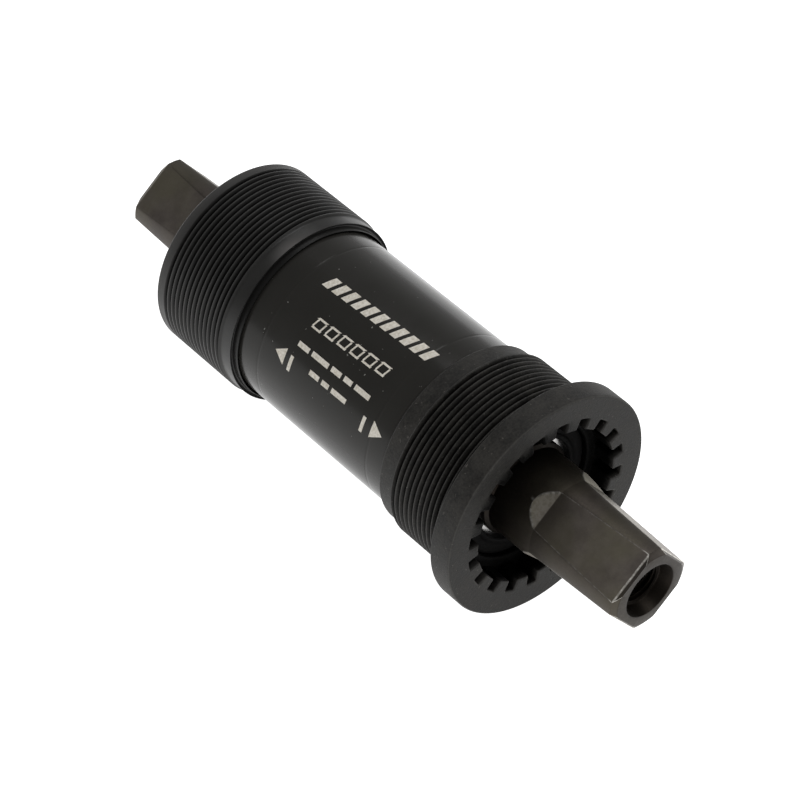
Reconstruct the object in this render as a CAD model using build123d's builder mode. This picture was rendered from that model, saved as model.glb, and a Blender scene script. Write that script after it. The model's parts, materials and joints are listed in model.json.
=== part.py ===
"""Square-taper cartridge bottom bracket: one STEP file for each separate piece.

The spindle lies along Y. The drive side is -Y, +Z is up, and the origin is on the
spindle's axis at the middle of the frame shell that the bracket screws into.
Outlines are (radius, distance) corners, where distance is counted from the
middle of the shell outwards, on whichever side the piece is.
"""

import os
from math import radians, tan

from build123d import *

os.makedirs("parts", exist_ok=True)

SIDES = {"drive": -1, "non_drive": 1}

# Frame shell and its 1.37 in x 24 tpi thread
SHELL_WIDTH = 68.0
THREAD_RADIUS = 17.4
THREAD_PITCH = 25.4 / 24
THREAD_ROOT = THREAD_RADIUS - 0.62
MOUTH_SHARE = 0.38  # half the groove's mouth, as a share of the pitch
ROOT_SHARE = 0.07  # half the groove's root, as a share of the pitch

# Cartridge tube, ball bearings and the sleeve between them
TUBE_RADIUS = 15.8
TUBE_END = 32.0
TUBE_BEVEL = 0.3
BEARING_OUTER = 15.0
BEARING_BORE = 8.5
BEARING_WIDTH = 7.0
BEARING_MIDDLE = TUBE_END - BEARING_WIDTH / 2
BEARING_INNER_FACE = TUBE_END - BEARING_WIDTH
OUTER_LAND = 13.0
INNER_LAND = 10.5
SLEEVE_BORE = 14.3

# Balls, cage and seals
BALL_COUNT = 11
BALL_PITCH_RADIUS = 11.75
BALL_RADIUS = 1.9844
GROOVE_RADIUS = 2.07
RACE_PLAY = 0.05
CAGE_BAND = (10.9, 12.6)
CAGE_SHEET = 0.5
POCKET_RADIUS = BALL_RADIUS + 0.15
POCKET_SKIN = 2.55
RIVET_RADIUS = 0.35
RIVET_HEAD_RADIUS = 0.55
RIVET_HEAD_HEIGHT = 0.25
SEAL_SEAT_RADIUS = 13.6
SEAL_SEAT_DEPTH = 0.7
SEAL_LIP_RADIUS = INNER_LAND + 0.1
DUST_SEAL_BORE = 9.3
DUST_SEAL_RADIUS = 12.4

# Tool spline, lip and cup bodies
SPLINE_COUNT = 20
SPLINE_TIP = 14.1
SPLINE_ROOT = 16.1
SPLINE_SLOT = 2.05
LIP_HOLE = 12.75
LIP_BEVEL = 0.3
FLANGE_RADIUS = 20.3
FLANGE_BACK = SHELL_WIDTH / 2
FLANGE_FRONT = FLANGE_BACK + 4.35
FLANGE_BEVEL = 0.2
DRIVE_CUP_START = 17.4
DRIVE_GROOVES = 11
DRIVE_FIRST_GROOVE = 22.05
DRIVE_COLLAR = 16.75
DRIVE_SLOT_TURN = 8.8
RELIEF_RADIUS = 16.7
RELIEF_WIDTH = 0.7
UNDERCUT = (17.6, 0.15)  # ring sunk into the flange's back, so the seat is clear of the thread
LOOSE_CUP_START = 18.25
LOOSE_CUP_END = 38.5
LOOSE_GROOVES = 14
LOOSE_FIRST_GROOVE = 22.4
LOOSE_COLLAR = 17.05
LOOSE_RIM_BEVEL = 0.35
LOOSE_SLOT_TURN = 4.0
SLIP = 0.05
CUP_MOUTH_RADIUS = 16.15

# Spindle with 12.65 mm square tapers and M8 bolt holes
SPINDLE_LENGTH = 119.0
SPINDLE_SHIFT = 1.8  # the spindle's middle is this far towards the drive side
SPINDLE_WAIST = 9.25
SPINDLE_END_RADIUS = 7.8
SPINDLE_TURN = 37.4  # the flats' turn from +X at rest
SHOULDER = (33.2, 33.6)
HALF_ACROSS_FLATS = 12.65 / 2
FLAT_LENGTH = 18.4
TAPER_SLOPE = tan(radians(2))
RUN_OUT_SLOPE = tan(radians(17))
LEAD_IN_LENGTH = 0.65
LEAD_IN_SLOPE = tan(radians(28))
END_BEVEL = (1.1, 0.63)
BOLT_MINOR = 3.46  # the M8 x 1 thread's minor radius: the hole is left plain
BOLT_MOUTH = 4.85
BOLT_MOUTH_INNER = (4.2, 2.2)  # radius and depth where the mouth's steep cone ends
BOLT_DEPTH = 20.0
DRILL_POINT = 2.0
CLEAR = 12.0  # further from the axis than anything on the spindle


def grooves(first, count):
    """Corners of the thread's V grooves, the first one at `first`."""
    corners = []
    for index in range(count):
        middle = first + index * THREAD_PITCH
        corners.append((THREAD_RADIUS, middle - MOUTH_SHARE * THREAD_PITCH))
        corners.append((THREAD_ROOT, middle - ROOT_SHARE * THREAD_PITCH))
        corners.append((THREAD_ROOT, middle + ROOT_SHARE * THREAD_PITCH))
        corners.append((THREAD_RADIUS, middle + MOUTH_SHARE * THREAD_PITCH))
    return corners


def placed(corners, side):
    """The same corners on the drive or the non-drive side of the XY plane."""
    return [(radius, side * distance) for radius, distance in corners]


def write(part, name):
    """Label a finished piece and write its STEP file."""
    part.label = name
    export_step(part, f"parts/{name}.step")


# Drive-side cup: steel, flanged, fixed on the tube
drive_cup_outline = [
    (TUBE_RADIUS, DRIVE_CUP_START),
    (CUP_MOUTH_RADIUS, DRIVE_CUP_START),
    (DRIVE_COLLAR, DRIVE_CUP_START + 0.6),
    (DRIVE_COLLAR, DRIVE_FIRST_GROOVE - 1.1),
    (THREAD_RADIUS, DRIVE_FIRST_GROOVE - 0.55),
    *grooves(DRIVE_FIRST_GROOVE, DRIVE_GROOVES),
    (THREAD_RADIUS, FLANGE_BACK - RELIEF_WIDTH - 0.2),
    (RELIEF_RADIUS, FLANGE_BACK - RELIEF_WIDTH),
    (RELIEF_RADIUS, FLANGE_BACK + UNDERCUT[1]),
    (UNDERCUT[0], FLANGE_BACK + UNDERCUT[1]),
    (UNDERCUT[0], FLANGE_BACK),
    (FLANGE_RADIUS - 0.2, FLANGE_BACK),
    (FLANGE_RADIUS, FLANGE_BACK + 0.2),
    (FLANGE_RADIUS, FLANGE_FRONT - FLANGE_BEVEL),
    (FLANGE_RADIUS - FLANGE_BEVEL, FLANGE_FRONT),
    (SPLINE_TIP, FLANGE_FRONT),
    (SPLINE_TIP, FLANGE_BACK),
    (LIP_HOLE + LIP_BEVEL, FLANGE_BACK),
    (LIP_HOLE, FLANGE_BACK - LIP_BEVEL),
    (LIP_HOLE, TUBE_END),
    (TUBE_RADIUS, TUBE_END),
]

# Non-drive cup: moulded, with no flange, free to slide on the tube
loose_cup_outline = [
    (TUBE_RADIUS + SLIP, LOOSE_CUP_START + 1.6),
    (CUP_MOUTH_RADIUS, LOOSE_CUP_START + 1.3),
    (CUP_MOUTH_RADIUS, LOOSE_CUP_START),
    (CUP_MOUTH_RADIUS + 0.1, LOOSE_CUP_START),
    (LOOSE_COLLAR, LOOSE_CUP_START + 0.9),
    (LOOSE_COLLAR, LOOSE_FIRST_GROOVE - 0.8),
    (THREAD_RADIUS, LOOSE_FIRST_GROOVE - 0.45),
    *grooves(LOOSE_FIRST_GROOVE, LOOSE_GROOVES),
    (THREAD_RADIUS, LOOSE_CUP_END - LOOSE_RIM_BEVEL),
    (THREAD_RADIUS - LOOSE_RIM_BEVEL, LOOSE_CUP_END),
    (SPLINE_TIP, LOOSE_CUP_END),
    (SPLINE_TIP, FLANGE_BACK),
    (LIP_HOLE + LIP_BEVEL, FLANGE_BACK),
    (LIP_HOLE, FLANGE_BACK - LIP_BEVEL),
    (LIP_HOLE, TUBE_END + SLIP),
    (TUBE_RADIUS + SLIP, TUBE_END + SLIP),
]

slot_middle = (SPLINE_TIP - 1 + SPLINE_ROOT) / 2
slot_length = SPLINE_ROOT - SPLINE_TIP + 1

with BuildPart() as drive_cup:
    with BuildSketch(Plane.XY):
        with BuildLine():
            Polyline(*placed(drive_cup_outline, SIDES["drive"]), close=True)
        make_face()
    revolve(axis=Axis.Y)
    with BuildSketch(Plane.XZ.offset(FLANGE_FRONT)):
        with PolarLocations(slot_middle, SPLINE_COUNT, start_angle=DRIVE_SLOT_TURN):
            Rectangle(slot_length, SPLINE_SLOT)
    extrude(amount=FLANGE_BACK - FLANGE_FRONT, mode=Mode.SUBTRACT)
write(drive_cup.part, "drive_cup")

with BuildPart() as non_drive_cup:
    with BuildSketch(Plane.XY):
        with BuildLine():
            Polyline(*placed(loose_cup_outline, SIDES["non_drive"]), close=True)
        make_face()
    revolve(axis=Axis.Y)
    with BuildSketch(Plane.XZ.offset(-LOOSE_CUP_END)):
        with PolarLocations(slot_middle, SPLINE_COUNT, start_angle=LOOSE_SLOT_TURN):
            Rectangle(slot_length, SPLINE_SLOT)
    extrude(amount=LOOSE_CUP_END - FLANGE_BACK, mode=Mode.SUBTRACT)
write(non_drive_cup.part, "non_drive_cup")

with BuildPart() as cartridge_tube:
    with BuildSketch(Plane.XZ.offset(-TUBE_END)):
        Circle(TUBE_RADIUS)
        Circle(BEARING_OUTER, mode=Mode.SUBTRACT)
    extrude(amount=2 * TUBE_END)
    rims = cartridge_tube.edges().filter_by(GeomType.CIRCLE).group_by(SortBy.RADIUS)[-1]
    chamfer(rims, TUBE_BEVEL)
write(cartridge_tube.part, "cartridge_tube")

with BuildPart() as race_sleeve:
    with BuildSketch(Plane.XZ.offset(-BEARING_INNER_FACE)):
        Circle(BEARING_OUTER)
        Circle(SLEEVE_BORE, mode=Mode.SUBTRACT)
    extrude(amount=2 * BEARING_INNER_FACE)
write(race_sleeve.part, "race_sleeve")

# Spindle: turned bar, then four tapered flats and a bolt hole at each end
spindle_ends = {
    "drive": SPINDLE_LENGTH / 2 + SPINDLE_SHIFT,
    "non_drive": SPINDLE_LENGTH / 2 - SPINDLE_SHIFT,
}


def half_spindle(end):
    """Corners of one half of the turned bar, from its middle to its end."""
    return [
        (SPINDLE_WAIST, BEARING_INNER_FACE),
        (BEARING_BORE, BEARING_INNER_FACE),
        (BEARING_BORE, SHOULDER[0]),
        (SPINDLE_END_RADIUS, SHOULDER[1]),
        (SPINDLE_END_RADIUS, end - END_BEVEL[1]),
        (SPINDLE_END_RADIUS - END_BEVEL[0], end),
        (0, end),
    ]


def flat_cut(end):
    """Corners, as (distance, height), of what is milled away above one flat."""
    inner = end - FLAT_LENGTH
    inner_height = HALF_ACROSS_FLATS + FLAT_LENGTH * TAPER_SLOPE
    rise = SPINDLE_WAIST - inner_height
    outer = end - LEAD_IN_LENGTH
    outer_height = HALF_ACROSS_FLATS + LEAD_IN_LENGTH * TAPER_SLOPE
    past = end + 1
    return [
        (past, CLEAR),
        (past, outer_height - (past - outer) * LEAD_IN_SLOPE),
        (outer, outer_height),
        (inner, inner_height),
        (inner - rise / RUN_OUT_SLOPE, SPINDLE_WAIST),
        (inner - rise / RUN_OUT_SLOPE, CLEAR),
    ]


def bolt_hole(end):
    """Corners of the bolt hole in one end of the spindle."""
    inner_radius, inner_depth = BOLT_MOUTH_INNER
    return [
        (0, end),
        (BOLT_MOUTH, end),
        (inner_radius, end - inner_depth),
        (BOLT_MINOR, end - inner_depth - (inner_radius - BOLT_MINOR)),
        (BOLT_MINOR, end - BOLT_DEPTH),
        (0, end - BOLT_DEPTH - DRILL_POINT),
    ]


with BuildPart() as spindle:
    with BuildSketch(Plane.XY):
        with BuildLine():
            drive_half = placed(half_spindle(spindle_ends["drive"]), SIDES["drive"])
            other_half = placed(half_spindle(spindle_ends["non_drive"]), SIDES["non_drive"])
            Polyline(*reversed(drive_half), *other_half, close=True)
        make_face()
    revolve(axis=Axis.Y)
    for side_name, side in SIDES.items():
        end = spindle_ends[side_name]
        for quarter in range(4):
            out = Vector(1, 0, 0).rotate(Axis.Y, -SPINDLE_TURN - 90 * quarter)
            along = Vector(0, side, 0)
            with BuildSketch(Plane(origin=(0, 0, 0), x_dir=along, z_dir=along.cross(out))):
                with BuildLine():
                    Polyline(*flat_cut(end), close=True)
                make_face()
            extrude(amount=CLEAR, both=True, mode=Mode.SUBTRACT)
        with BuildSketch(Plane.XY):
            with BuildLine():
                Polyline(*placed(bolt_hole(end), side), close=True)
            make_face()
        revolve(axis=Axis.Y, mode=Mode.SUBTRACT)
write(spindle.part, "spindle")

# The two sealed ball bearings, and the dust seal outside each of them
outer_groove = BALL_PITCH_RADIUS + BALL_RADIUS + RACE_PLAY - GROOVE_RADIUS
inner_groove = BALL_PITCH_RADIUS - BALL_RADIUS - RACE_PLAY + GROOVE_RADIUS
half_width = BEARING_WIDTH / 2
seal_outer_face = half_width - 0.1
seal_inner_face = half_width - SEAL_SEAT_DEPTH
half_ball_turn = 180 / BALL_COUNT

for side_name, side in SIDES.items():
    middle = side * BEARING_MIDDLE
    across = Plane.XZ.offset(-middle)

    with BuildPart() as outer_race:
        with BuildSketch(Plane.XY):
            with Locations(((OUTER_LAND + BEARING_OUTER) / 2, middle)):
                Rectangle(BEARING_OUTER - OUTER_LAND, BEARING_WIDTH)
            with Locations((outer_groove, middle)):
                Circle(GROOVE_RADIUS, mode=Mode.SUBTRACT)
            with Locations(
                (OUTER_LAND, middle + half_width),
                (OUTER_LAND, middle - half_width),
            ):
                Rectangle(2 * (SEAL_SEAT_RADIUS - OUTER_LAND), 2 * SEAL_SEAT_DEPTH, mode=Mode.SUBTRACT)
        revolve(axis=Axis.Y)
    write(outer_race.part, f"{side_name}_outer_race")

    with BuildPart() as inner_race:
        with BuildSketch(Plane.XY):
            with Locations(((BEARING_BORE + INNER_LAND) / 2, middle)):
                Rectangle(INNER_LAND - BEARING_BORE, BEARING_WIDTH)
            with Locations((inner_groove, middle)):
                Circle(GROOVE_RADIUS, mode=Mode.SUBTRACT)
        revolve(axis=Axis.Y)
    write(inner_race.part, f"{side_name}_inner_race")

    with BuildPart() as balls:
        with Locations(across):
            with PolarLocations(BALL_PITCH_RADIUS, BALL_COUNT):
                Sphere(BALL_RADIUS)
    write(balls.part, f"{side_name}_balls")

    for half_name, direction in (("outboard", side), ("inboard", -side)):
        with BuildPart() as cage:
            with BuildSketch(across):
                Circle(CAGE_BAND[1])
                Circle(CAGE_BAND[0], mode=Mode.SUBTRACT)
            extrude(amount=-direction * CAGE_SHEET)
            with Locations(across):
                with PolarLocations(BALL_PITCH_RADIUS, BALL_COUNT):
                    Sphere(POCKET_SKIN)
            with BuildSketch(across):
                Circle(CAGE_BAND[1])
                Circle(CAGE_BAND[0], mode=Mode.SUBTRACT)
            extrude(amount=-direction * half_width, mode=Mode.INTERSECT)
            with Locations(across):
                with PolarLocations(BALL_PITCH_RADIUS, BALL_COUNT):
                    Sphere(POCKET_RADIUS, mode=Mode.SUBTRACT)
                with PolarLocations(BALL_PITCH_RADIUS, BALL_COUNT, start_angle=half_ball_turn):
                    Cylinder(RIVET_RADIUS, 2 * half_width, mode=Mode.SUBTRACT)
        write(cage.part, f"{side_name}_cage_{half_name}")

        with BuildPart() as seal:
            seal_outline = [
                (SEAL_SEAT_RADIUS, seal_inner_face),
                (SEAL_SEAT_RADIUS, seal_outer_face - 0.15),
                (SEAL_SEAT_RADIUS - 0.5, seal_outer_face),
                (SEAL_LIP_RADIUS + 0.5, seal_outer_face - 0.05),
                (SEAL_LIP_RADIUS, seal_outer_face - 0.2),
                (SEAL_LIP_RADIUS, seal_inner_face + 0.1),
                (SEAL_LIP_RADIUS + 0.4, seal_inner_face),
            ]
            with BuildSketch(Plane.XY):
                with BuildLine():
                    Polyline(*[(r, middle + direction * d) for r, d in seal_outline], close=True)
                make_face()
            revolve(axis=Axis.Y)
        write(seal.part, f"{side_name}_seal_{half_name}")

    with BuildPart() as rivets:
        with Locations(across):
            with PolarLocations(BALL_PITCH_RADIUS, BALL_COUNT, start_angle=half_ball_turn):
                Cylinder(RIVET_RADIUS, 2 * CAGE_SHEET)
        for height in (CAGE_SHEET, -CAGE_SHEET - RIVET_HEAD_HEIGHT):
            with BuildSketch(across.offset(height)):
                with PolarLocations(BALL_PITCH_RADIUS, BALL_COUNT, start_angle=half_ball_turn):
                    Circle(RIVET_HEAD_RADIUS)
            extrude(amount=RIVET_HEAD_HEIGHT)
    write(rivets.part, f"{side_name}_cage_rivets")

    with BuildPart() as dust_seal:
        dust_outline = [
            (DUST_SEAL_BORE, TUBE_END),
            (DUST_SEAL_BORE, TUBE_END + 1.25),
            (DUST_SEAL_BORE + 0.5, TUBE_END + 1.5),
            (LIP_HOLE - 1.1, TUBE_END + 1.25),
            (DUST_SEAL_RADIUS, TUBE_END + 1.0),
            (DUST_SEAL_RADIUS, TUBE_END + 0.6),
            (DUST_SEAL_RADIUS - 0.45, TUBE_END + 0.25),
            (INNER_LAND - 0.1, TUBE_END + 0.25),
            (INNER_LAND - 0.1, TUBE_END),
        ]
        with BuildSketch(Plane.XY):
            with BuildLine():
                Polyline(*placed(dust_outline, side), close=True)
            make_face()
        revolve(axis=Axis.Y)
    write(dust_seal.part, f"{side_name}_dust_seal")
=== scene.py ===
import json
from math import atan2, cos, pi, radians, sin, sqrt, tan

import bmesh
import bpy
import numpy as np
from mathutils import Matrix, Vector


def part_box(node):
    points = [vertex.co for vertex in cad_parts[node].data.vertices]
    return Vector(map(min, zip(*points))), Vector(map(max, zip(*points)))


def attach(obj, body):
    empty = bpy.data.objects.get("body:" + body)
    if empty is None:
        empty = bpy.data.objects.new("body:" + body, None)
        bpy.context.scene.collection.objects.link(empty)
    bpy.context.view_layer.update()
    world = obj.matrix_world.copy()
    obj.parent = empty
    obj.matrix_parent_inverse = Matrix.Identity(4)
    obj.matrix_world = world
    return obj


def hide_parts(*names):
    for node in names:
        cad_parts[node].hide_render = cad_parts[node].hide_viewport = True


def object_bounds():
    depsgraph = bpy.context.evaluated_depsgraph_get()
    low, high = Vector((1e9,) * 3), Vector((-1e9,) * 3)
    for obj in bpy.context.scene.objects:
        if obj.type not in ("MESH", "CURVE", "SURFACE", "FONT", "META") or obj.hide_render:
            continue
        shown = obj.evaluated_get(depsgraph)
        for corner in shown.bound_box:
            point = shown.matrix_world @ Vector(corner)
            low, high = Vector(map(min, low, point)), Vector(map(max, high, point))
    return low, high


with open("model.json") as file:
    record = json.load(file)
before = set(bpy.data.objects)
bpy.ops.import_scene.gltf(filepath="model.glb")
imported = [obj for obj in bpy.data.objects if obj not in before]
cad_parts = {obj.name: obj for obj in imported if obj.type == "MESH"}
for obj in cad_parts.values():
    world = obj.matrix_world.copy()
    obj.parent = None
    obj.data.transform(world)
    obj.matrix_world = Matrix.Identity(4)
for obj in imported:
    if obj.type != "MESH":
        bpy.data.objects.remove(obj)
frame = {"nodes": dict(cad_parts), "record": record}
cad_low, cad_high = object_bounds()

# Lengths are in millimetres until a mesh is made, in metres. A distance counts from the
# middle of the shell outwards, and a side is -1 (drive) or 1 (non-drive) along Y. A turn
# goes round the Y axis, from +X towards +Z.
MM = 0.001
DRIVE, OTHER = -1, 1
FACING = radians(123.4)  # the turn that faces the camera


def reach(node):
    """A CAD node's radius, and its least and greatest distance along Y, in mm."""
    low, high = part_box(node)
    return high.x / MM, low.y / MM, high.y / MM


flange_radius, y_low, y_high = reach("drive_cup")
FLANGE_FRONT, DRIVE_START = -y_low, -y_high
thread_radius, LOOSE_START, LOOSE_END = reach("non_drive_cup")
shaft_radius, y_low, y_high = reach("spindle")
SHAFT_END = {DRIVE: -y_low, OTHER: y_high}
tube_radius, _, TUBE_END = reach("cartridge_tube")
bearing_radius = reach("drive_outer_race")[0]
SHELL_HALF = 34.0


# ---------------------------------------------------------------- mesh building
SHARP_ANGLE = 34.0  # degrees between two faces, past which their edge is sharp
WELD, SLIVER = 3e-7, 1e-8  # metres

# A thread's V groove over one pitch: (share of the pitch, share of the depth)
GROOVE = (
    (-0.5, 0.0), (-0.41, 0.0), (-0.37, 0.05), (-0.08, 0.97),
    (0.0, 1.0), (0.08, 0.97), (0.37, 0.05), (0.41, 0.0),
)


def soften(corners, size, steps):
    """A polyline of (radius, distance) corners with each inner corner rounded."""
    points = [corners[0]]
    for before, here, after in zip(corners, corners[1:], corners[2:]):
        here = np.array(here, float)
        back, ahead = np.array(before, float) - here, np.array(after, float) - here
        cut = min(size, 0.45 * np.linalg.norm(back), 0.45 * np.linalg.norm(ahead))
        start = here + back / np.linalg.norm(back) * cut
        end = here + ahead / np.linalg.norm(ahead) * cut
        for step in range(steps + 1):
            share = step / steps
            points.append(tuple((1 - share) ** 2 * start + 2 * share * (1 - share) * here + share**2 * end))
    points.append(corners[-1])
    return points


def ring(turns, radius, distance, side):
    """One row of points round the Y axis; radius and distance may vary with the turn."""
    row = np.empty((len(turns), 3))
    row[:, 0] = radius * np.cos(turns)
    row[:, 1] = side * np.asarray(distance)
    row[:, 2] = radius * np.sin(turns)
    return row


def rings(turns, corners, side, size=0.0, steps=3):
    """Rows for a turned outline of (radius, distance) corners."""
    if size:
        corners = soften(corners, size, steps)
    return [ring(turns, radius, distance, side) for radius, distance in corners]


def placed(points, distance, side):
    """One row of points, from (x, z) points at that distance."""
    return np.column_stack((points[:, 0], np.full(len(points), side * distance), points[:, 1]))


def radius_of(row):
    return np.hypot(row[:, 0], row[:, 2])


def towards(row, turn):
    """How much each point of a row lies towards a turn, from 1 down to -1."""
    return np.cos(np.arctan2(row[:, 2], row[:, 0]) - turn)


def helix(turns, crest, depth, pitch, first, low, high, lead, side, fade):
    """Rows of a helical V groove between the distances low and high."""
    rows = []
    drift = lead * pitch * (turns - FACING) / (2 * pi)
    start = int(np.floor((low - first) / pitch)) - 2
    count = int((high - low) / pitch) + 6  # with spares, which the limits flatten
    for k in range(start, start + count):
        for share, sink in GROOVE:
            distance = np.clip(first + (k + share) * pitch + drift, low, high)
            strength = np.clip((distance - low) / fade, 0, 1) * np.clip((high - distance) / fade, 0, 1)
            rows.append(ring(turns, crest - depth * sink * strength, distance, side))
    return rows


def skin(name, grids, slot, body, stand_for, sharp=SHARP_ANGLE):
    """A closed mesh through grids of rows, which stands for a CAD node.

    A grid's split says, for some rows, along which diagonal each face is cut in two.
    """
    points, faces, marks = [], [], {"wear": [], "scale": []}
    for grid in grids:
        rows, loop, split = grid["rows"], grid.get("loop", False), grid.get("split", {})
        base, count, total = sum(len(p) for p in points), len(rows[0]), len(rows)
        points += rows
        for mark, values in marks.items():
            values += grid.get(mark, [np.zeros(count)] * total)
        for j in range(total if loop else total - 1):
            a, d = base + j * count, base + ((j + 1) % total) * count
            for i in range(count - 1):
                corner = (a + i, a + i + 1, d + i + 1, d + i)
                if j not in split:
                    faces.append(corner)
                elif split[j][i] > 0:
                    faces += [(corner[0], corner[1], corner[2]), (corner[0], corner[2], corner[3])]
                else:
                    faces += [(corner[0], corner[1], corner[3]), (corner[1], corner[2], corner[3])]
    mesh = bpy.data.meshes.new(name)
    mesh.from_pydata((np.concatenate(points) * MM).tolist(), [], faces)
    for mark, values in marks.items():
        if any(value.any() for value in values):
            mesh.attributes.new(mark, "FLOAT", "POINT").data.foreach_set("value", np.concatenate(values))
    piece = finish_mesh(name, mesh, MATERIALS[slot], body, sharp)
    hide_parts(stand_for)


def finish_mesh(name, mesh, material, body, sharp):
    """A piece from a mesh, welded and smoothed, riding on a CAD body."""
    weld = bmesh.new()
    weld.from_mesh(mesh)
    bmesh.ops.remove_doubles(weld, verts=weld.verts, dist=WELD)
    bmesh.ops.dissolve_degenerate(weld, edges=weld.edges, dist=SLIVER)
    bmesh.ops.recalc_face_normals(weld, faces=weld.faces)
    weld.to_mesh(mesh)
    weld.free()
    mesh.shade_smooth()
    mesh.set_sharp_from_angle(angle=radians(sharp))
    piece = bpy.data.objects.new(name, mesh)
    bpy.context.scene.collection.objects.link(piece)
    mesh.materials.append(material)
    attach(piece, body)
    return piece


def circle_turns(count):
    return np.linspace(FACING, FACING + 2 * pi, count + 1)


# ---------------------------------------------------------------- materials
class Nodes:
    """A short way to write a node tree."""

    def __init__(self, name):
        self.material = bpy.data.materials.new(name)
        self.material.use_nodes = True
        self.tree = self.material.node_tree
        self.shader = self.tree.nodes["Principled BSDF"]
        self.place = self.tree.nodes.new("ShaderNodeTexCoord").outputs["Object"]

    def put(self, kind, inputs=(), **settings):
        node = self.tree.nodes.new(kind)
        for key, value in settings.items():
            setattr(node, key, value)
        for socket, value in dict(inputs).items():
            self.join(node.inputs[socket], value)
        return node

    def join(self, socket, value):
        if isinstance(value, bpy.types.NodeSocket):
            self.tree.links.new(value, socket)
        else:
            socket.default_value = value

    def stretched(self, scale):
        return self.put("ShaderNodeMapping", {"Vector": self.place, "Scale": scale}).outputs[0]

    def noise(self, scale, detail, rough, vector=None):
        inputs = {"Vector": vector or self.place, "Scale": scale, "Detail": detail, "Roughness": rough}
        return self.put("ShaderNodeTexNoise", inputs).outputs["Fac"]

    def sweep(self, value, low, high, to_low=0.0, to_high=1.0):
        inputs = {0: value, 1: low, 2: high, 3: to_low, 4: to_high}
        return self.put("ShaderNodeMapRange", inputs).outputs[0]

    def maths(self, operation, *values):
        return self.put("ShaderNodeMath", dict(enumerate(values)), operation=operation).outputs[0]

    def mix(self, share, first, second):
        inputs = {"Factor": share, 6: (*first, 1) if isinstance(first, tuple) else first}
        inputs[7] = (*second, 1) if isinstance(second, tuple) else second
        return self.put("ShaderNodeMix", inputs, data_type="RGBA").outputs[2]

    def mark(self, name):
        """The mesh's own mark of that name: wear is rubbed bright and in places a painted glint, scale is
        black and greasy and in places painted shade.
        """
        return self.put("ShaderNodeAttribute", attribute_name=name).outputs["Fac"]

    def bump(self, height, strength, distance, under=None):
        inputs = {"Height": height, "Strength": strength, "Distance": distance}
        if under:
            inputs["Normal"] = under
        return self.put("ShaderNodeBump", inputs).outputs[0]

    def done(self, **sockets):
        for socket, value in sockets.items():
            self.join(self.shader.inputs[socket.replace("_", " ")], value)
        return self.material


def blackened_steel():
    n = Nodes("blackened_steel")
    grain, cloud = n.noise(2300, 4.0, 0.7), n.noise(260, 5.0, 0.6)
    mottle = n.maths("ADD", grain, cloud)
    speck = n.sweep(n.noise(1700, 2.0, 0.5), 0.68, 0.74)
    base = n.mix(n.sweep(mottle, 0.8, 1.2), (0.0085, 0.0080, 0.0070), (0.034, 0.0318, 0.0282))
    base = n.mix(n.maths("MULTIPLY", speck, 0.6), base, (0.12, 0.11, 0.10))
    base = n.mix(n.maths("MULTIPLY", n.mark("wear"), 0.35), base, (0.10, 0.097, 0.09))
    # the scale mark paints shade here: near black in the thread grooves, down the recess, on the near
    # side's tooth ends and over the flange's front face, and it dulls the shine there too
    base = n.mix(n.mark("scale"), base, (0.0015, 0.0014, 0.0012))
    return n.done(
        Base_Color=base,
        Roughness=n.sweep(mottle, 0.6, 1.4, 0.50, 0.70),
        Specular_IOR_Level=n.sweep(n.mark("scale"), 0.0, 1.0, 0.24, 0.05),
        Normal=n.bump(grain, 0.8, 0.0001, n.bump(cloud, 0.12, 0.0003)),
    )


def moulded_plastic():
    n = Nodes("moulded_plastic")
    grain, cloud = n.noise(2600, 3.0, 0.55), n.noise(180, 4.0, 0.5)
    base = n.mix(cloud, (0.0175, 0.0173, 0.0166), (0.0265, 0.0260, 0.0248))
    # the wear mark also paints a glint on the collar's mouth
    base = n.mix(n.maths("MULTIPLY", n.mark("wear"), 0.4), base, (0.12, 0.115, 0.112))
    # the scale mark paints shade here: near black in the thread grooves, down the recess and on the near
    # side's tooth ends
    base = n.mix(n.mark("scale"), base, (0.0015, 0.0015, 0.0014))
    scuffed = n.maths("MULTIPLY", n.mark("wear"), 0.3)
    return n.done(
        Base_Color=base,
        Roughness=n.maths("ADD", n.sweep(cloud, 0.3, 0.7, 0.32, 0.42), scuffed),
        Specular_IOR_Level=n.sweep(n.mark("scale"), 0.0, 1.0, 0.26, 0.06),
        Normal=n.bump(grain, 0.2, 0.00005),
    )


def gloss_black():
    n = Nodes("gloss_black")
    lines = n.noise(700, 2.0, 0.5, n.stretched((0.02, 1.0, 0.02)))
    cloud = n.noise(120, 4.0, 0.55)
    dust = n.sweep(n.noise(1500, 2.0, 0.5), 0.755, 0.785)
    base = n.mix(cloud, (0.0225, 0.0217, 0.0196), (0.0300, 0.0288, 0.0260))
    base = n.mix(n.maths("MULTIPLY", dust, 0.7), base, (0.30, 0.30, 0.28))
    haze = n.sweep(cloud, 0.3, 0.7, 0.0, 0.04)
    return n.done(
        Base_Color=base,
        Roughness=n.maths("ADD", n.sweep(lines, 0.35, 0.65, 0.17, 0.19), haze),
        Specular_IOR_Level=0.15,
        Normal=n.bump(lines, 0.015, 0.00003),
    )


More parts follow.
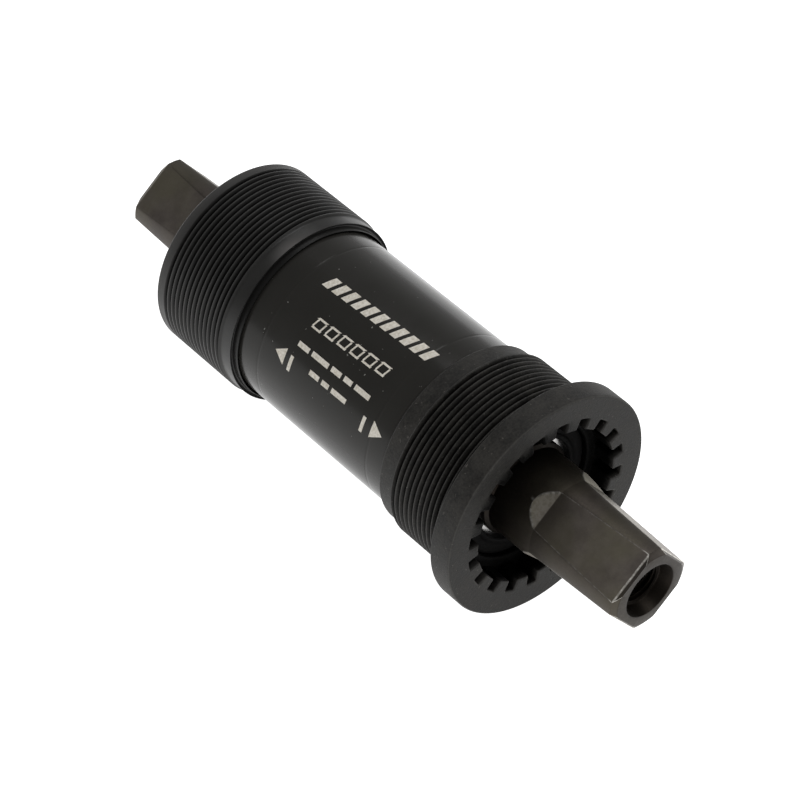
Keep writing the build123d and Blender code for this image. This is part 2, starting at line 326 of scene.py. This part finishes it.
def milled_steel():
    n = Nodes("milled_steel")
    cloud, grain = n.noise(210, 5.0, 0.65), n.noise(2600, 3.0, 0.6)
    stain = n.sweep(n.noise(90, 3.0, 0.5), 0.42, 0.62)
    base = n.mix(n.sweep(cloud, 0.3, 0.7), (0.14, 0.120, 0.108), (0.24, 0.213, 0.185))
    base = n.mix(n.maths("MULTIPLY", stain, 0.6), base, (0.20, 0.185, 0.125))
    black = n.mix(cloud, (0.0090, 0.0080, 0.0068), (0.0215, 0.0160, 0.0118))
    # the scale mark is black scale, grease and the dark end's rust, with painted shade down in the cup, on
    # the flats beside it, on the far end's flats and in the bolt hole
    base = n.mix(n.mark("scale"), base, black)
    chipped = n.sweep(n.noise(1500, 3.0, 0.6), 0.42, 0.58)
    # the wear mark also paints a bright glint along each flat's lead-in
    wear_and_glint = n.maths("MULTIPLY", n.mark("wear"), n.sweep(chipped, 0.0, 1.0, 0.4, 1.0))
    base = n.mix(wear_and_glint, base, (0.85, 0.82, 0.76))
    return n.done(
        Base_Color=base,
        Metallic=0.8,
        Roughness=n.sweep(n.maths("ADD", grain, cloud), 0.6, 1.4, 0.38, 0.52),
        Specular_IOR_Level=0.25,
        Normal=n.bump(grain, 0.3, 0.00005, n.bump(cloud, 0.15, 0.0002)),
    )


def rubber():
    n = Nodes("seal_rubber")
    grain = n.noise(2200, 4.0, 0.6)
    return n.done(
        Base_Color=n.mix(grain, (0.0030, 0.0030, 0.0031), (0.0060, 0.0058, 0.0055)),
        Roughness=n.sweep(grain, 0.3, 0.7, 0.6, 0.8),
        Specular_IOR_Level=0.05,
        Normal=n.bump(grain, 0.2, 0.00004),
    )


def plain_steel(name, dark, light, roughness, stretch):
    n = Nodes(name)
    lines, cloud = n.noise(1600, 4.0, 0.6, n.stretched(stretch)), n.noise(220, 4.0, 0.5)
    return n.done(
        Base_Color=n.mix(cloud, dark, light),
        Metallic=1.0,
        Roughness=n.sweep(lines, 0.3, 0.7, *roughness),
        Normal=n.bump(lines, 0.12, 0.00003),
    )


def ink():
    n = Nodes("white_ink")
    grain = n.noise(2400, 3.0, 0.6)
    return n.done(
        Base_Color=n.mix(n.sweep(grain, 0.35, 0.7), (0.86, 0.82, 0.74), (0.62, 0.57, 0.47)),
        Roughness=n.sweep(grain, 0.3, 0.7, 0.45, 0.65),
        Normal=n.bump(grain, 0.2, 0.00003),
    )


EVEN, ROUND_THE_AXIS, ALONG_THE_AXIS = (1, 1, 1), (0.03, 1, 0.03), (1, 0.05, 1)
MATERIALS = {
    "drive_cup_steel": blackened_steel(),
    "non_drive_cup_plastic": moulded_plastic(),
    "tube_black": gloss_black(),
    "spindle_steel": milled_steel(),
    "seal_rubber": rubber(),
    "bearing_steel": plain_steel(
        "ground_steel", (0.50, 0.49, 0.48), (0.62, 0.61, 0.60), (0.14, 0.26), ROUND_THE_AXIS
    ),
    "ball_steel": plain_steel(
        "polished_steel", (0.60, 0.60, 0.60), (0.70, 0.70, 0.70), (0.05, 0.12), EVEN
    ),
    "cage_steel": plain_steel(
        "pressed_steel", (0.36, 0.35, 0.33), (0.48, 0.47, 0.44), (0.28, 0.44), EVEN
    ),
    "sleeve_steel": plain_steel(
        "drawn_steel", (0.30, 0.30, 0.30), (0.40, 0.40, 0.41), (0.26, 0.42), ALONG_THE_AXIS
    ),
}
INK = ink()

slots = {part["node"]: part["material_slot"] for part in frame["record"]["subparts"]}
for node_name, node in frame["nodes"].items():
    node.data.materials.clear()
    node.data.materials.append(MATERIALS[slots[node_name]])


# ---------------------------------------------------------------- the two cups
SLOT_COUNT = 20
TIP, ROOT, HALF_SLOT = 14.1, 16.1, 1.025
TIP_FILLET, ROOT_FILLET = 0.18, 0.22

# The recess, from the cup's end face inwards
FACE_MARGIN = 0.8  # how far the first outline on the face stands outside the recess
# Its mouth by (grow, drop) and its foot by (grow, rise)
RECESS_MOUTH = ((0.34, 0.0), (0.28, 0.0), (0.2, 0.02), (0.1, 0.08), (0.03, 0.16), (0.0, 0.26))
RECESS_FOOT = ((0.0, 0.22), (-0.06, 0.06), (-0.22, 0.0))
ROUNDED = 0.5  # mm of the recess's depth that its mouth and its foot take
LIP_RADII, LIP_HOLE, LIP_BEVEL = (13.65, 13.4), 12.5, 0.25

PITCH, THREAD_DEPTH, THREAD_FADE = 25.4 / 24, 0.62, 0.35
CUP_MOUTH, COLLAR, LOOSE_COLLAR = 16.15, 16.75, 17.05
RELIEF = 16.7
UNDERCUT_RADIUS, UNDERCUT_DEPTH = 17.6, 0.15
FLANGE_BEVEL = 0.2
RIM_LENGTH, RIM_BEVEL = 1.9, 0.35
SLIP = 0.05
# how much painted shade darkens each cup's end face
FRONT_SHADE = {DRIVE: 0.3, OTHER: 0.0}


def spline_outline(grow, first_turn):
    """Points (x, z) round the tool spline, with the recess grown outwards by grow."""
    tip, root, half = TIP + grow, ROOT + grow, HALF_SLOT + grow
    root_edge, tip_edge = sqrt(root**2 - half**2), sqrt(tip**2 - half**2)
    upper = []  # (outwards, sideways) from a slot's middle to half way along the tooth
    for share in (0.0, 0.35, 0.7):
        sideways = share * (half - ROOT_FILLET)
        upper.append((sqrt(root**2 - sideways**2), sideways))
    sideways = half - ROOT_FILLET
    upper.append((sqrt(root**2 - sideways**2), sideways))
    upper.append((root_edge - 0.3 * ROOT_FILLET, half - 0.3 * ROOT_FILLET))
    upper.append((root_edge - ROOT_FILLET, half))
    for share in (0.35, 0.7):
        upper.append((root_edge + share * (tip_edge - root_edge), half))
    upper.append((tip_edge + TIP_FILLET, half))
    upper.append((tip_edge + 0.25 * TIP_FILLET, half + 0.25 * TIP_FILLET))
    start = atan2(half + TIP_FILLET, tip)
    for share in (0.0, 0.34, 0.67, 1.0):
        turn = start + share * (pi / SLOT_COUNT - start)
        upper.append((tip * cos(turn), tip * sin(turn)))
    loop = upper + [(out, -aside) for out, aside in reversed(upper[1:-1])]
    points = []
    for index in range(SLOT_COUNT):
        middle = first_turn + 2 * pi * index / SLOT_COUNT
        for out, aside in loop:
            # each slot's points run from its middle, round the next tooth, to the next slot
            shifted = middle if aside >= 0 else middle + 2 * pi / SLOT_COUNT
            x = out * cos(shifted) - aside * sin(shifted)
            z = out * sin(shifted) + aside * cos(shifted)
            points.append((x, z))
    points.append(points[0])
    return np.array(points)


def outline_turns(first_turn, grow=0.0):
    """The turns of the spline outline's points."""
    points = spline_outline(grow, first_turn)
    turns = np.unwrap(np.arctan2(points[:, 1], points[:, 0]))
    turns[-1] = turns[0] + 2 * pi
    return turns


def recess(turns, first_turn, face_radii, face, side):
    """Rows from the cup's end face, down the spline, and over the lip to its hole."""
    on_face = placed(spline_outline(FACE_MARGIN, first_turn), face, side)
    held = on_face.copy()  # the outline, held out to near the slots' bottom
    held[:, (0, 2)] *= np.maximum(1, (ROOT + 0.2) / radius_of(held))[:, None]
    rows = [ring(outline_turns(first_turn, FACE_MARGIN), radius, face, side) for radius in face_radii]
    rows += [held, on_face]
    for grow, drop in RECESS_MOUTH:
        rows.append(placed(spline_outline(grow, first_turn), face - drop, side))
    wall = spline_outline(0.0, first_turn)
    for share in (0.3, 0.65):
        distance = face - RECESS_MOUTH[-1][1] - share * (face - SHELL_HALF - ROUNDED)
        rows.append(placed(wall, distance, side))
    for grow, rise in RECESS_FOOT:
        rows.append(placed(spline_outline(grow, first_turn), SHELL_HALF + rise, side))
    rows.append(ring(outline_turns(first_turn, RECESS_FOOT[-1][0]), LIP_RADII[0], SHELL_HALF, side))
    lip = [
        (LIP_RADII[1], SHELL_HALF), (LIP_HOLE + LIP_BEVEL, SHELL_HALF),
        (LIP_HOLE, SHELL_HALF - LIP_BEVEL), (LIP_HOLE, TUBE_END),
    ]
    return rows + rings(turns, lip, side, 0.12)


def cup_marks(rows, face, side, threaded, crest):
    """Wear on the end face's edges and the thread's crests; painted shade in the grooves, down the recess,
    on the near side's tooth ends and on the drive flange's front face.
    """
    wears, scale_and_shade_rows = [], []
    for row in rows:
        radius, distance = radius_of(row), side * row[:, 1]
        depth = face - distance
        edge = np.clip(1 - np.abs(depth - 0.12) / 0.16, 0, 1) * np.clip((radius - 12) / 2, 0, 1)
        wears.append(np.where(np.abs(radius - thread_radius) < 0.02, crest, edge))
        on_thread = (distance > threaded[0]) & (distance < threaded[1])
        # painted shade: the thread's grooves go near black
        groove = np.clip((thread_radius - 0.08 - radius) / 0.3, 0, 1) * on_thread * (radius > ROOT + 0.3)
        # painted shade: everything down in the spline recess goes near black
        inside = np.clip((depth - 0.3) / 0.8, 0, 1) * (radius < ROOT + 0.1)
        # painted shade: the tooth ends on the side that faces the camera go dark
        near_side_shade = np.clip(towards(row, FACING) * 1.6 - 0.4, 0, 1)
        tooth_end_shade = near_side_shade * np.clip((ROOT + 0.5 - radius) / 0.5, 0, 1)
        # painted shade: the drive flange's front face is darkened all over
        front = FRONT_SHADE[side] * (depth < 0.01)
        scale_and_shade_rows.append(np.maximum.reduce([groove, inside, tooth_end_shade, front]))
    return {"wear": wears, "scale": scale_and_shade_rows}


def cup_thread(turns, first, low, high, side):
    """Rows of a cup's thread: left-hand on the drive side and right-hand on the other."""
    return helix(turns, thread_radius, THREAD_DEPTH, PITCH, first, low, high, -1, side, THREAD_FADE)


def drive_cup():
    first_turn = radians(8.8)
    turns = outline_turns(first_turn)
    start, front, back = DRIVE_START, FLANGE_FRONT, SHELL_HALF
    thread_start, first_groove, thread_end = 21.5, 22.05, back - 0.9
    tail = [
        (tube_radius, TUBE_END), (tube_radius, start + 0.15), (tube_radius + 0.15, start),
        (CUP_MOUTH, start), (COLLAR, start + 0.6), (COLLAR, 20.95), (thread_radius, thread_start),
    ]
    flange = [
        (thread_radius, thread_end), (RELIEF, back - 0.7), (RELIEF, back + UNDERCUT_DEPTH),
        (UNDERCUT_RADIUS, back + UNDERCUT_DEPTH), (UNDERCUT_RADIUS, back),
        (flange_radius - FLANGE_BEVEL, back), (flange_radius, back + FLANGE_BEVEL),
        (flange_radius, front - FLANGE_BEVEL), (flange_radius - FLANGE_BEVEL, front),
        (flange_radius - 0.8, front),
    ]
    rows = rings(turns, tail, DRIVE, 0.12)
    rows += cup_thread(turns, first_groove, thread_start, thread_end, DRIVE)
    rows += rings(turns, flange, DRIVE, 0.16, 4)
    rows += recess(turns, first_turn, (flange_radius - 1.4, ROOT + 1), front, DRIVE)
    marks = cup_marks(rows, front, DRIVE, (thread_start, back - 0.8), 0.15)
    grid = {"rows": rows, "loop": True, **marks}
    skin("drive_cup_body", [grid], "drive_cup_steel", "cartridge", "drive_cup")


def loose_cup():
    first_turn = radians(4.0)
    turns = outline_turns(first_turn)
    start, end = LOOSE_START, LOOSE_END
    thread_start, first_groove, thread_end = 21.95, 22.4, end - RIM_LENGTH
    tail = [
        (tube_radius + SLIP, TUBE_END + SLIP), (tube_radius + SLIP, start + 1.6),
        (CUP_MOUTH, start + 1.3), (CUP_MOUTH, start), (16.3, start), (16.32, start + 1.3),
        (16.6, start + 1.35), (LOOSE_COLLAR, start + 0.9), (LOOSE_COLLAR, 21.6),
        (thread_radius, thread_start),
    ]
    rim = [
        (thread_radius, thread_end), (thread_radius, end - RIM_BEVEL), (thread_radius - RIM_BEVEL, end),
        (thread_radius - 0.6, end),
    ]
    rows = rings(turns, tail, OTHER, 0.14)
    rows += cup_thread(turns, first_groove, thread_start, thread_end, OTHER)
    rows += rings(turns, rim, OTHER, 0.16, 4)
    rows += recess(turns, first_turn, (thread_radius - 0.66,), end, OTHER)
    marks = cup_marks(rows, end, OTHER, (thread_start, thread_end), 0.3)
    for row, wear in zip(rows, marks["wear"]):
        radius, distance = radius_of(row), OTHER * row[:, 1]
        # the plain rim is dull all round, and the collar's mouth has a painted glint in one place
        wear += 0.4 * (radius > LOOSE_COLLAR) * np.clip((distance - end + RIM_LENGTH) / 0.1, 0, 1)
        # painted glint: a narrow bright streak on the mouth's edge, a little round from the turn that faces
        # the camera
        mouth_glint = np.clip(towards(row, FACING - 0.37), 0, 1) ** 60
        at_mouth = np.abs(distance - start - 1.0) < 0.25
        wear += 2.5 * mouth_glint * at_mouth * (radius > RELIEF)
    grid = {"rows": rows, "loop": True, **marks}
    skin("non_drive_cup_body", [grid], "non_drive_cup_plastic", "non_drive_cup", "non_drive_cup")


# ---------------------------------------------------------------- the spindle
FLAT_TURN = radians(37.4)
FLAT_COLUMNS, CORNER_COLUMNS = 9, 8
QUARTER_COLUMNS = 2 * FLAT_COLUMNS + 1 + CORNER_COLUMNS + 1
END_RADIUS, SEAT_RADIUS = 7.8, 8.5
HALF_FLATS, FLAT_LENGTH = 6.325, 18.4
TAPER, RUN_OUT, LEAD_IN = tan(radians(2)), tan(radians(17)), tan(radians(28))
INNER_HEIGHT = HALF_FLATS + FLAT_LENGTH * TAPER  # of the flats, where they start
LEAD_IN_LENGTH = 0.65
EDGE = 0.12  # width of the worn strip beside each corner of the flats
BEVEL_DROP, BEVEL_LENGTH = 1.1, 0.63

BOLT_RADIUS, BOLT_THREAD_DEPTH, BOLT_PITCH = 3.46, 0.56, 1.0
BOLT_MOUTH, BOLT_MOUTH_DEPTH = 5.2, 2.3
BOLT_THREAD_END, BOLT_DEPTH, DRILL_POINT = 18.6, 20.0, 2.0

RUBBED = {DRIVE: 1.0, OTHER: 0.15}
# painted shade left on each end's flats away from the cup: the far end's flats stay darker
FLAT_SHADE = {DRIVE: 0.0, OTHER: 0.38}


def section(radius, height):
    """Points (x, z) round the spindle where its flats are at that height."""
    half = sqrt(max(radius**2 - height**2, 0.0))
    corner = atan2(half, height)
    points = []
    for quarter in range(4):
        middle = FLAT_TURN + quarter * pi / 2
        for k in range(-FLAT_COLUMNS, FLAT_COLUMNS + 1):
            at_corner = abs(k) == FLAT_COLUMNS
            sideways = half if at_corner else (half - EDGE) * abs(k) / (FLAT_COLUMNS - 1)
            sideways *= 1 if k >= 0 else -1
            shrink = 0.997 if at_corner else 1.0
            out, aside = height * shrink, sideways * shrink
            x = out * cos(middle) - aside * sin(middle)
            z = out * sin(middle) + aside * cos(middle)
            points.append((x, z))
        start = corner + EDGE / radius
        for k in range(CORNER_COLUMNS + 1):
            turn = middle + start + (pi / 2 - 2 * start) * k / CORNER_COLUMNS
            points.append((radius * cos(turn), radius * sin(turn)))
    points.append(points[0])
    return np.array(points)


def shaft_columns():
    """Each column's turn, its place within its flat, and its lean from the flat's middle."""
    points = section(END_RADIUS, INNER_HEIGHT)
    turns = np.unwrap(np.arctan2(points[:, 1], points[:, 0]))
    turns[-1] = turns[0] + 2 * pi
    index = np.arange(len(turns))
    middles = FLAT_TURN + (index // QUARTER_COLUMNS) * pi / 2
    leans = (turns - middles + pi) % (2 * pi) - pi
    return turns, index % QUARTER_COLUMNS - FLAT_COLUMNS, leans


def flat_height(distance, end):
    """Height of the flats above the axis at that distance."""
    outer = end - LEAD_IN_LENGTH
    if distance > outer:
        return HALF_FLATS + LEAD_IN_LENGTH * TAPER - (distance - outer) * LEAD_IN
    return HALF_FLATS + (end - distance) * TAPER


def bolt_hole(turns, end, side):
    """Rows from the end face down the tapped hole; both holes' threads are right-hand."""
    mouth = [
        (BOLT_MOUTH, end), (4.85, end), (4.2, end - 2.2), (4.1, end - BOLT_MOUTH_DEPTH),
    ]
    bottom = end - BOLT_THREAD_END
    lead = 1 if side == DRIVE else -1
    thread = helix(
        turns, BOLT_RADIUS, -BOLT_THREAD_DEPTH, BOLT_PITCH, bottom + 0.5, bottom, end - BOLT_MOUTH_DEPTH,
        lead, side, 0.25,
    )
    floor_end = end - BOLT_DEPTH
    tail = [(BOLT_RADIUS, bottom), (BOLT_RADIUS, floor_end), (0.0, floor_end - DRILL_POINT)]
    return rings(turns, mouth, side, 0.09) + thread[::-1] + rings(turns, tail, side)


def spindle_scale_and_shade(rows, place, side):
    """Black scale and grease, thin on what the mill didn't cut; painted shade makes it thick down in the
    cup and darkens the flats beside the cup, the far end's flats and the bolt hole.
    """
    end = SHAFT_END[side]
    inner, outer = end - FLAT_LENGTH, end - LEAD_IN_LENGTH
    scale_and_shade_rows = []
    for row in rows:
        radius, distance = radius_of(row), side * row[:, 1]
        milled = (np.abs(place) < FLAT_COLUMNS) & (radius < END_RADIUS - 0.01) & (distance > 38)
        # real black scale on the unmilled shaft, with painted shade that deepens further into the cup
        shaft_scale_and_shade = np.where(milled, 0.0, np.interp(distance, (36.5, inner + 0.5), (1.0, 0.7)))
        corner = np.where(milled, 0.0, np.interp(distance, (inner, outer), (0.85, 0.72)))
        # painted shade: the flats darken next to the cup, and the far end's flats stay darker all along
        flats_painted_shade = np.interp(distance, (inner - 0.1, inner, inner + 8), (0.0, 0.62, FLAT_SHADE[side]))
        flat = np.where(milled, flats_painted_shade, 0.0)
        near_end = (outer + 0.1, outer + 0.25, end - 0.06, end - 0.02)
        tip = np.interp(distance, near_end, (0.0, 0.7, 0.7, 0.92))
        # painted shade: the bolt hole and its countersink go near black all the way down
        hole = 0.98 * (radius < BOLT_MOUTH - 0.1)
        scale_and_shade_rows.append(np.maximum.reduce([np.where(distance < inner, shaft_scale_and_shade, corner), flat, tip, hole]))
    return scale_and_shade_rows


def spindle_half(side):
    """Rows from the spindle's middle out to one end and down its bolt hole."""
    end, rubbed = SHAFT_END[side], RUBBED[side]
    inner, outer = end - FLAT_LENGTH, end - LEAD_IN_LENGTH
    turns, place, leans = shaft_columns()
    count = len(turns)
    on_flat, at_corner = np.abs(place) <= FLAT_COLUMNS, np.abs(place) == FLAT_COLUMNS
    rows = rings(turns, [
        (shaft_radius, 0.0), (shaft_radius, 24.6), (shaft_radius - 0.4, 25.0), (SEAT_RADIUS, 25.0),
        (SEAT_RADIUS, 33.2), (END_RADIUS, 33.6), (END_RADIUS, 39.4),
    ], side, 0.1)
    wears = [np.zeros(count)] * len(rows)
    # the run-out: one row for each column, so that its rounded edge follows the points
    split = {}
    for k in range(FLAT_COLUMNS):
        height = END_RADIUS * cos(leans[np.argmax(place == k)])
        inside = np.abs(place) < k
        radius = np.full(count, END_RADIUS)
        radius[inside] = height / np.cos(leans[inside])
        split[len(rows)] = np.where((place >= 0) & (place < FLAT_COLUMNS), 1, -1)
        rows.append(ring(turns, radius, inner - (height - INNER_HEIGHT) / RUN_OUT, side))
        wears.append(np.where(inside, 0.12, np.where(np.abs(place) == k, 0.35, 0.0)) * rubbed)
    # the flats, their lead-in and the end's bevel
    stations = [inner, inner + 0.15, *np.linspace(inner + 1.5, outer - 0.14, 12)]
    stations += [outer, outer + 0.1, outer + 0.25, outer + 0.4, end - 0.1, end - 0.03]
    for distance in stations:
        bevel = max(distance - (end - BEVEL_LENGTH), 0.0) * BEVEL_DROP / BEVEL_LENGTH
        rows.append(placed(section(END_RADIUS - bevel, flat_height(distance, end)), distance, side))
        wear_and_glint = np.where(at_corner, 1.0, 0.0)
        # painted glint over real wear: a bright line across each flat where the lead-in starts
        if outer - 0.01 < distance < outer + 0.11:
            wear_and_glint = np.where(on_flat, 1.2, 0.0)
        wears.append(wear_and_glint * rubbed * (0.2 if distance < outer - 1.5 else 0.8))
    rows.append(placed(section(END_RADIUS - BEVEL_DROP - 0.08, flat_height(end, end) - 0.03), end, side))
    wears.append(np.full(count, 0.02 * rubbed))
    hole = bolt_hole(turns, end, side)
    rows += hole
    wears += [np.zeros(count)] * len(hole)
    return {"rows": rows, "wear": wears, "split": split, "scale": spindle_scale_and_shade(rows, place, side)}


def spindle():
    halves = [spindle_half(DRIVE), spindle_half(OTHER)]
    skin("spindle_body", halves, "spindle_steel", "spindle", "spindle", sharp=14.5)


# ---------------------------------------------------------------- tube and seals
TUBE_BEVEL = 0.3
TUBE_LINES, LINE_DEPTH = (-13.4, 13.8), 0.02


def tube():
    turns = circle_turns(288)
    corners = [
        (bearing_radius, -TUBE_END), (tube_radius - TUBE_BEVEL, -TUBE_END),
        (tube_radius, -TUBE_END + TUBE_BEVEL),
    ]
    for line in TUBE_LINES:
        corners += [
            (tube_radius, line - 0.3), (tube_radius - LINE_DEPTH, line - 0.1),
            (tube_radius - LINE_DEPTH, line + 0.1), (tube_radius, line + 0.3),
        ]
    corners += [
        (tube_radius, TUBE_END - TUBE_BEVEL), (tube_radius - TUBE_BEVEL, TUBE_END),
        (bearing_radius, TUBE_END),
    ]
    rows = rings(turns, corners, OTHER, 0.08)
    rows += rings(turns, [(bearing_radius, TUBE_END - 0.1), (bearing_radius, -TUBE_END + 0.1)], OTHER)
    skin("tube_shell", [{"rows": rows, "loop": True}], "tube_black", "cartridge", "cartridge_tube")


def dust_seal(side, word):
    """A rubber ring with a rounded hub, a sunk web and a lip at its edge."""
    heights = [
        (9.3, 0), (9.3, 1.25), (9.5, 1.46), (9.8, 1.5), (10.1, 1.4), (10.3, 1.15), (10.8, 1.08),
        (11.2, 1.18), (11.8, 1.2), (12.15, 1.12), (12.38, 0.98), (12.4, 0.62), (12.1, 0.45),
        (11.9, 0.27), (10.4, 0.25), (10.4, 0), (9.3, 0),
    ]
    corners = [(radius, TUBE_END + height) for radius, height in heights]
    rows = rings(circle_turns(160), corners, side, 0.1)
    skin(f"{word}_dust_seal_ring", [{"rows": rows}], "seal_rubber", "spindle", f"{word}_dust_seal")


drive_cup()
loose_cup()
spindle()
tube()
dust_seal(DRIVE, "drive")
dust_seal(OTHER, "non_drive")


# ---------------------------------------------------------------- marks on the tube
INK_UNDER, INK_TOP = 15.79, 15.825
INK_STEP = 1.5  # the most degrees that one face of ink spans
MARK_START = 33.4  # the turn, in degrees, that a mark's angles count from
DASHES = (
    (105.9, 3.3, 0.1, ((-6.9, -4.3), (-3.6, 0.4), (1.1, 3.4), (4.1, 6.0), (6.7, 10.2))),
    (116.4, 3.2, 0.0, ((-2.5, -0.2), (0.5, 2.2), (2.9, 6.4))),
)  # (top, height, slope, starts and ends)


def slab(quad):
    """Points and faces of a thin closed slab over four (distance to the drive side, turn) corners."""
    a, b, c, d = (np.array(corner, float) for corner in quad)
    across = max(1, int(np.ceil(max(np.abs(b - a)[1], np.abs(c - d)[1]) / INK_STEP)))
    down = max(1, int(np.ceil(max(np.abs(d - a)[1], np.abs(c - b)[1]) / INK_STEP)))
    points, faces = [], []
    for layer in (INK_UNDER, INK_TOP):
        for j in range(down + 1):
            for i in range(across + 1):
                v, u = j / down, i / across
                along, turn = (1 - v) * ((1 - u) * a + u * b) + v * ((1 - u) * d + u * c)
                turn = radians(turn)
                points.append((layer * cos(turn), -along, layer * sin(turn)))

    def at(level, j, i):
        return (level * (down + 1) + j) * (across + 1) + i

    for j in range(down):
        for i in range(across):
            faces.append((at(1, j, i), at(1, j, i + 1), at(1, j + 1, i + 1), at(1, j + 1, i)))
            faces.append((at(0, j, i), at(0, j + 1, i), at(0, j + 1, i + 1), at(0, j, i + 1)))
    for i in range(across):
        faces.append((at(0, 0, i), at(0, 0, i + 1), at(1, 0, i + 1), at(1, 0, i)))
        faces.append((at(0, down, i), at(1, down, i), at(1, down, i + 1), at(0, down, i + 1)))
    for j in range(down):
        faces.append((at(0, j, 0), at(1, j, 0), at(1, j + 1, 0), at(0, j + 1, 0)))
        faces.append((at(0, j, across), at(0, j + 1, across), at(1, j + 1, across), at(1, j, across)))
    return points, faces


def ink_piece(name, quads):
    """One piece of ink: every quad becomes a thin closed slab."""
    points, faces = [], []
    for quad in quads:
        more_points, more_faces = slab(quad)
        faces += [tuple(len(points) + k for k in face) for face in more_faces]
        points += more_points
    mesh = bpy.data.meshes.new(name)
    mesh.from_pydata([(x * MM, y * MM, z * MM) for x, y, z in points], [], faces)
    finish_mesh(name, mesh, INK, "cartridge", SHARP_ANGLE)


def slanted(start, end, top, bottom, slant):
    """A quad between two distances and two angles, with its top shifted by slant."""
    top, bottom = top + MARK_START, bottom + MARK_START
    return [(start + slant, top), (end + slant, top), (end, bottom), (start, bottom)]


def bars():
    quads = []
    for k in range(11):
        start, drop = -10.6 + 2.26 * k, -3.2 * k / 10
        quads.append(slanted(start, start + 1.45, 64.5 + drop, 73.2 + drop, 0.9))
    return quads


def lozenges():
    """Open boxes, each from four strokes."""
    line, tall = 0.32, 1.25
    quads = []
    for k in range(6):
        left, right = -6.6 + 2.9 * k, -4.5 + 2.9 * k
        top, bottom = 88.8 - 0.7 * k, 96.2 - 0.7 * k
        quads.append(slanted(left, right, top, top + tall, 0.5))
        quads.append(slanted(left, right, bottom - tall, bottom, 0.15))
        quads.append(slanted(left, left + line, top + tall, bottom - tall, 0.35))
        quads.append(slanted(right - line, right, top + tall, bottom - tall, 0.35))
    return quads


def dashes():
    quads = []
    for top, height, slope, spans in DASHES:
        for start, end in spans:
            quads.append(slanted(start, end, top - slope * start, top + height - slope * start, 0.0))
    return quads


def arrows():
    """A triangle and a bar at each end of the marks."""
    middle, base_low, base_high = (angle + MARK_START for angle in (120.6, 115.2, 126.2))
    quads = []
    for tip, base, bar in ((-10.6, -8.3, -7.2), (15.5, 13.0, 11.4)):
        quads.append([(tip, middle), (base, base_low), (base, base_high), (tip, middle)])
        width = 0.7 if bar > base else -0.7
        quads.append(slanted(bar, bar + width, 117, 127, 0.0))
    return quads


ink_piece("tube_mark_bars", bars())
ink_piece("tube_mark_lozenges", lozenges())
ink_piece("tube_mark_dashes", dashes())
ink_piece("tube_mark_arrows", arrows())


# ---------------------------------------------------------------- stage
def floor():
    """A wide white sheet that gives off light of its own, so that its far parts go pure white."""
    mesh = bpy.data.meshes.new("floor")
    half, height = 6.0, cad_low.z
    corners = [(-half, -half, height), (half, -half, height), (half, half, height), (-half, half, height)]
    mesh.from_pydata(corners, [], [(0, 1, 2, 3)])
    n = Nodes("floor_white")
    mesh.materials.append(n.done(
        Base_Color=n.mix(n.noise(3.0, 2.0, 0.5), (0.54, 0.54, 0.54), (0.56, 0.56, 0.56)),
        Roughness=0.9,
        Specular_IOR_Level=0.0,
        Emission_Color=(1, 1, 1, 1),
        Emission_Strength=1.15,
    ))
    piece = bpy.data.objects.new("floor", mesh)
    bpy.context.scene.collection.objects.link(piece)


def ceiling_panel():
    """A broad lamp overhead, turned to face the object."""
    light = bpy.data.lights.new("top", "AREA")
    light.shape, light.size, light.size_y = "RECTANGLE", 1.6, 0.5
    light.energy = 8.0
    lamp = bpy.data.objects.new("top", light)
    lamp.location = (0.35, -0.1, 1.1)
    lamp.rotation_euler = (-lamp.location).to_track_quat("-Z", "Y").to_euler()
    bpy.context.scene.collection.objects.link(lamp)


def studio():
    """Soft light that is strongest from low behind the object, and fades upwards and forwards."""
    world = bpy.data.worlds.new("studio")
    world.use_nodes = True
    tree = world.node_tree
    along = tree.nodes.new("ShaderNodeVectorMath")
    along.operation = "DOT_PRODUCT"
    along.inputs[1].default_value = (0.25, 0.60, -0.76)
    fade = tree.nodes.new("ShaderNodeMapRange")
    tree.links.new(tree.nodes.new("ShaderNodeTexCoord").outputs["Generated"], along.inputs[0])
    tree.links.new(along.outputs["Value"], fade.inputs["Value"])
    for socket, value in {"From Min": -0.25, "From Max": 0.6, "To Min": 0.18, "To Max": 0.8}.items():
        fade.inputs[socket].default_value = value
    tree.links.new(fade.outputs[0], tree.nodes["Background"].inputs["Strength"])
    tree.nodes["Background"].inputs["Color"].default_value = (1, 1, 1, 1)
    bpy.context.scene.world = world


floor()
ceiling_panel()
studio()
bpy.context.scene.view_settings.view_transform = "Standard"

CAMERA_PLACE, CAMERA_AIM = (-0.2281, -0.2705, 0.3456), (0.4607, 0.5397, -0.7046)
camera_data = bpy.data.cameras.new("camera")
camera_data.sensor_width = 36.0
camera_data.lens = 137.83
camera_data.clip_start = 0.01
camera = bpy.data.objects.new("camera", camera_data)
camera.location = CAMERA_PLACE
camera.rotation_euler = Vector(CAMERA_AIM).to_track_quat("-Z", "Y").to_euler()
bpy.context.scene.collection.objects.link(camera)
bpy.context.scene.camera = camera
